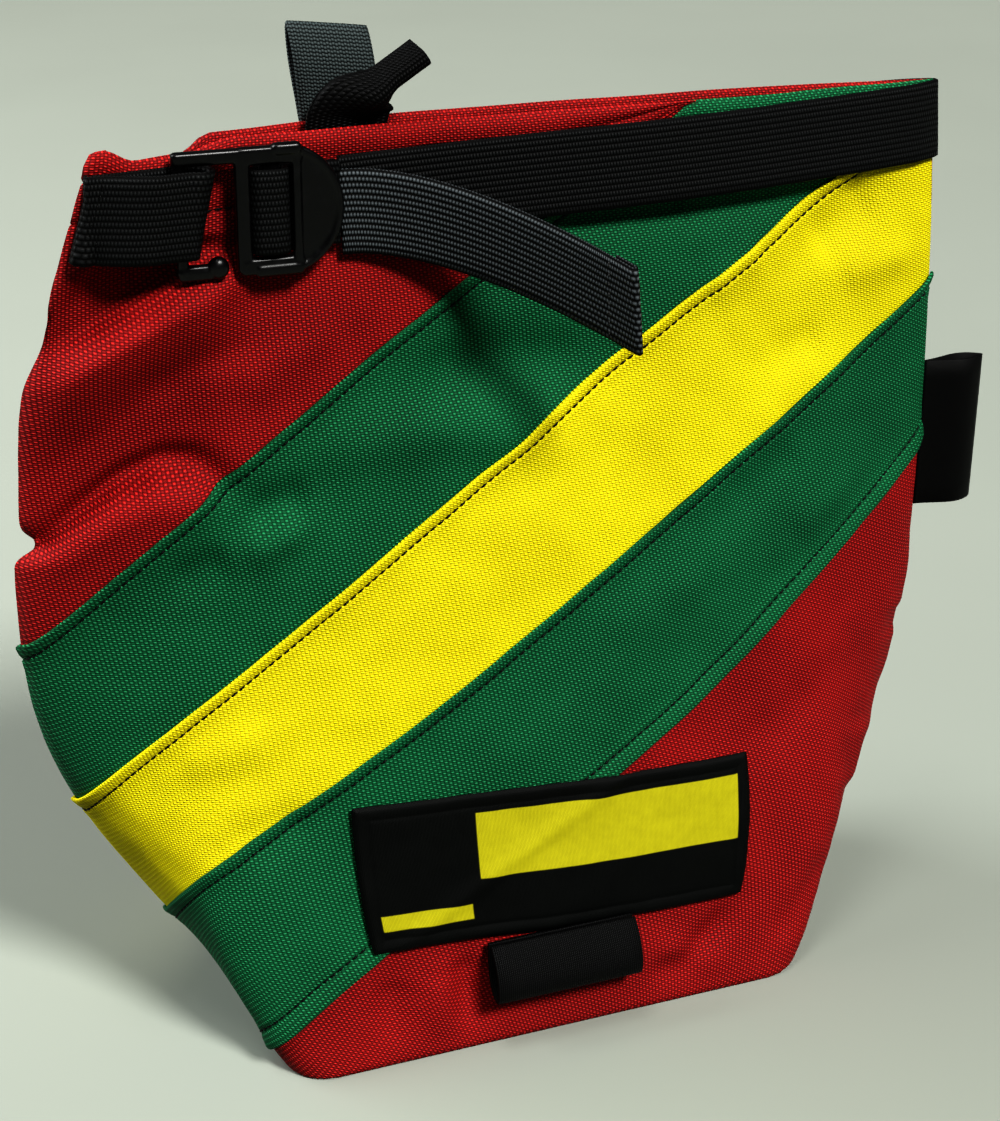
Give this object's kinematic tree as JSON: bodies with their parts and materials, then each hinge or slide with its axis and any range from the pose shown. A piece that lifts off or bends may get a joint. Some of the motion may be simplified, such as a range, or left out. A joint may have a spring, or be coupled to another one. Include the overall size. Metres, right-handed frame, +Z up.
{
  "type": "climbing chalk bucket",
  "caption": "Soft stand-up climbing chalk bucket of pieced diagonal cloth stripes, with a flat mouth closed by a webbing strap and hook buckle.",
  "frame": {"origin": "centre of the base's underside, on the surface that the bag stands on", "axes": "+Z up, the patch and buckle side faces -Y, +X to the right seen from the front"},
  "size_m": [0.3347, 0.1196, 0.3296],
  "materials": {
    "red_cloth": "coated woven nylon, satin",
    "green_cloth": "coated woven nylon, satin",
    "yellow_cloth": "coated woven nylon, satin",
    "base_cloth": "coated woven nylon, satin",
    "stiffener_foam": "closed-cell foam board, matt",
    "fleece": "brushed fleece, matt",
    "thread": "bonded sewing thread",
    "webbing": "ribbed nylon webbing",
    "elastic": "woven elastic, matt",
    "patch_cloth": "damask woven badge",
    "label_ribbon": "satin woven ribbon",
    "moulded_plastic": "moulded acetal, fine satin"
  },
  "bodies": {
    "bag": {"red_upper_panel": "red_cloth", "green_upper_stripe": "green_cloth", "yellow_stripe": "yellow_cloth", "green_lower_stripe": "green_cloth", "red_lower_panel": "red_cloth", "base_panel": "base_cloth", "base_stiffener": "stiffener_foam", "base_lining": "fleece", "lining_front": "fleece", "lining_back": "fleece", "seam_topstitching": "thread", "hem_topstitching": "thread", "woven_patch": "patch_cloth", "patch_stitching": "thread", "closure_strap": "webbing", "strap_anchor_stitching": "thread", "keeper_loop": "webbing", "keeper_loop_stitching": "thread"},
    "buckle": {"hook_buckle": "moulded_plastic", "strap_buckle_wrap": "webbing"},
    "tail": {"strap_tail": "webbing"},
    "brush_holder": {"brush_loop": "elastic"},
    "haul_loop": {"haul_loop": "webbing"},
    "pull_tab": {"pull_tab": "webbing"},
    "label": {"side_label": "label_ribbon"}
  },
  "joints": [
    {"name": "buckle_slide", "type": "slide", "parent": "bag", "child": "buckle", "axis": [1, 0, 0], "range_m": [-0.004, 0]},
    {"name": "tail_swing", "type": "hinge", "parent": "buckle", "child": "tail", "pos_m": [-0.0589, -0.0126, 0.2802], "axis": [0, 0, 1], "range_deg": [-75, 0]},
    {"name": "brush_loop_lift", "type": "hinge", "parent": "bag", "child": "brush_holder", "pos_m": [0.002, -0.0505, 0.0362], "axis": [-1, 0, 0], "range_deg": [0, 85]},
    {"name": "haul_loop_fold", "type": "hinge", "parent": "bag", "child": "haul_loop", "pos_m": [-0.0568, 0.0046, 0.3006], "axis": [-1, 0, 0], "range_deg": [0, 78]},
    {"name": "pull_tab_fold", "type": "hinge", "parent": "bag", "child": "pull_tab", "pos_m": [-0.054, -0.0016, 0.3006], "axis": [1, 0, 0], "range_deg": [0, 60]},
    {"name": "label_swing", "type": "hinge", "parent": "bag", "child": "label", "pos_m": [0.1537, 0, 0.176], "axis": [0, 0, 1], "range_deg": [-55, 55]}
  ]
}
